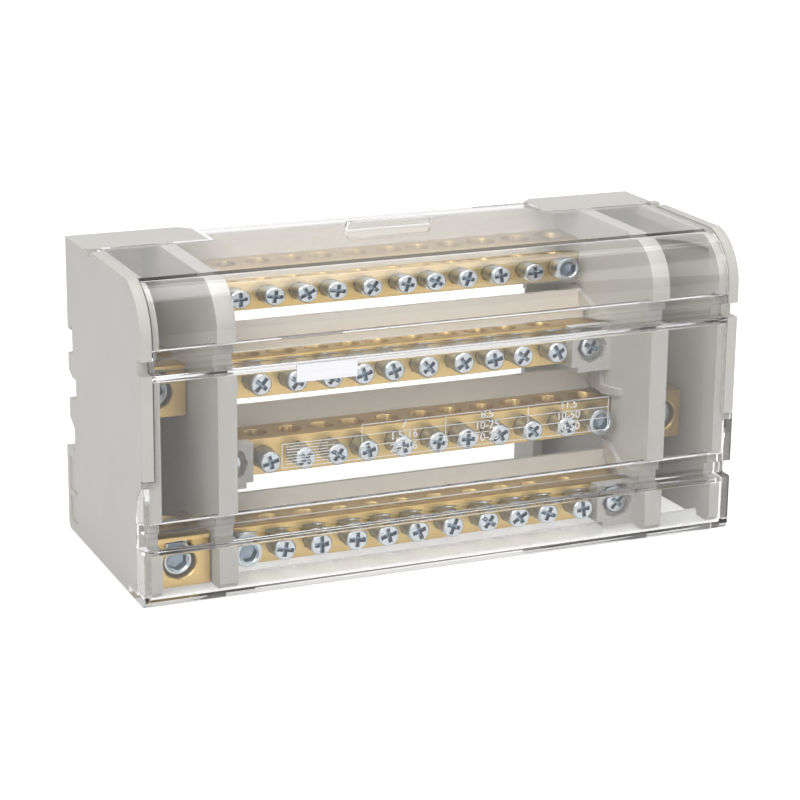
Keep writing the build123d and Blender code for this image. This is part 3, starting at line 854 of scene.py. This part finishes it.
def number_mesh(text, middle, height, start):
    """Places in metres of a number that stands upright, and its faces, counted from start."""
    curve = bpy.data.curves.new("number", "FONT")
    curve.body = text
    curve.size = NUMBER_SIZE
    curve.offset = 0.05
    curve.extrude = PRINT_T / 2
    curve.resolution_u = 3
    curve.align_x = "CENTER"
    made = bpy.data.objects.new("number", curve)
    bpy.context.collection.objects.link(made)
    bpy.context.view_layer.update()
    mesh = made.to_mesh()
    raw = np.empty(len(mesh.vertices) * 3)
    mesh.vertices.foreach_get("co", raw)
    raw = raw.reshape(-1, 3)
    y = Y_REAR - PRINT_DEPTH + PRINT_T / 2 - raw[:, 2]
    places = np.stack([middle + raw[:, 0], y, height + raw[:, 1]], -1)
    corners = np.empty(len(mesh.loops), np.int32)
    mesh.loops.foreach_get("vertex_index", corners)
    counts = np.empty(len(mesh.polygons), np.int32)
    mesh.polygons.foreach_get("loop_total", counts)
    faces = [face.tolist() for face in np.split(corners + start, np.cumsum(counts)[:-1])]
    made.to_mesh_clear()
    bpy.data.objects.remove(made, do_unlink=True)
    return places * MM, faces


all_places, all_faces, total = [line_places], list(line_faces), len(line_places)
for height, row in TABLE_ROWS:
    for column, text in enumerate(row, start=1):
        middle = (COLUMNS[column] + COLUMNS[column + 1]) / 2
        places, faces = number_mesh(text, middle, height, total)
        all_places.append(places)
        all_faces += faces
        total += len(places)
table = new_piece("printed_table", np.vstack(all_places), all_faces, (PRINT_WHITE,), "cover")
print("table", len(table.data.polygons), "faces")

# %% [markdown]
# ## Studio
#
# The photograph is a cut-out on white. A pale floor and a white world give that ground.
# Camera rays and see-through rays meet the white itself, and glossy rays a share of it, so
# metal and clear plastic show it too. A ray that has bounced off a matte surface meets a much
# dimmer world, also behind the clear cover, so the bays stay in shade.

# %% What a ray sees of the white


def white_share(tree, glossy):
    """1 for camera and see-through rays, glossy for reflected ones, 0 after a matte bounce."""
    path = add(tree, "ShaderNodeLightPath")
    seen = maths(tree, "MAXIMUM", path.outputs["Is Camera Ray"], path.outputs["Is Transmission Ray"])
    sheen = maths(tree, "MULTIPLY", path.outputs["Is Glossy Ray"], glossy)
    straight = maths(tree, "LESS_THAN", path.outputs["Diffuse Depth"], 0.5)
    return maths(tree, "MULTIPLY", maths(tree, "MAXIMUM", seen, sheen), straight)


# %% [markdown]
# ### Floor
#
# A floor that only glows would hide the block's shadow, and a matte one alone turns grey. So
# it is matte and also glows a little, for the eye and for what the eye sees in other pieces.

# %% Floor
FLOOR_HALF = 3.0
FLOOR_BELOW = 0.0002
FLOOR_GLOW = 0.55


def stage_floor():
    """A wide pale floor that glows a little for the eye and still takes a shadow."""
    mesh = bpy.data.meshes.new("floor")
    corners = np.array([(-1, -1, 0), (1, -1, 0), (1, 1, 0), (-1, 1, 0)]) * FLOOR_HALF
    mesh.from_pydata(corners.tolist(), [], [(0, 1, 2, 3)])
    floor = bpy.data.objects.new("floor", mesh)
    floor.location = (0.0, 0.0, -FLOOR_BELOW)
    bpy.context.collection.objects.link(floor)
    material, tree = new_material("floor white")
    out = add(tree, "ShaderNodeOutputMaterial")
    matte = add(tree, "ShaderNodeBsdfDiffuse", Color=(0.80, 0.80, 0.80, 1.0))
    glow = add(tree, "ShaderNodeEmission", Color=(1.0, 1.0, 1.0, 1.0))
    link(tree, maths(tree, "MULTIPLY", white_share(tree, 1.0), FLOOR_GLOW), glow.inputs["Strength"])
    both = add(tree, "ShaderNodeAddShader")
    link(tree, matte.outputs[0], both.inputs[0])
    link(tree, glow.outputs[0], both.inputs[1])
    link(tree, both.outputs[0], out.inputs["Surface"])
    mesh.materials.append(material)
    return floor


print("floor", stage_floor().name)

# %% [markdown]
# ### World
#
# The same share moves the world between a dim light and full white. A glossy ray gets about
# two thirds of the white, which keeps a pale sheen on the clear roof.

# %% World
WORLD_SHEEN = 0.55
WORLD_SHADE = 0.28

world = bpy.data.worlds.new("studio")
bpy.context.scene.world = world
world.use_nodes = True
sky = world.node_tree
sky.nodes.clear()
sky_out = add(sky, "ShaderNodeOutputWorld")
sky_light = add(sky, "ShaderNodeBackground", Color=(1.0, 1.0, 1.0, 1.0))
sky_strength = add(sky, "ShaderNodeMapRange")
sky_strength.inputs["To Min"].default_value = WORLD_SHADE
sky_strength.inputs["To Max"].default_value = 1.0
link(sky, white_share(sky, WORLD_SHEEN), sky_strength.inputs["Value"])
link(sky, sky_strength.outputs["Result"], sky_light.inputs["Strength"])
link(sky, sky_light.outputs["Background"], sky_out.inputs["Surface"])
print("world", len(sky.nodes), "nodes")

# %% [markdown]
# ### Lamps
#
# A large soft key from the front left gives the end plate its light and the steps their
# shade. A wide lamp above opens the roof, and a weak one from the right keeps the far bay
# readable.

# %% Lamps


def soft_lamp(name, place, target, size, power):
    """A square area lamp that faces a target."""
    data = bpy.data.lights.new(name, "AREA")
    data.shape = "SQUARE"
    data.size = size
    data.energy = power
    lamp = bpy.data.objects.new(name, data)
    lamp.location = place
    direction = Vector(target) - Vector(place)
    lamp.rotation_euler = direction.to_track_quat("-Z", "Y").to_euler()
    bpy.context.collection.objects.link(lamp)


MIDDLE = (0.0, 0.0, 0.04)
soft_lamp("key", (-0.95, -1.1, 1.2), MIDDLE, 0.9, 16.0)
soft_lamp("top", (0.1, 0.1, 1.6), MIDDLE, 1.2, 12.0)
soft_lamp("fill", (1.2, -0.9, 0.7), MIDDLE, 1.2, 5.0)
print("lamps", [light.name for light in bpy.data.lights])

bpy.context.scene.view_settings.view_transform = "Standard"
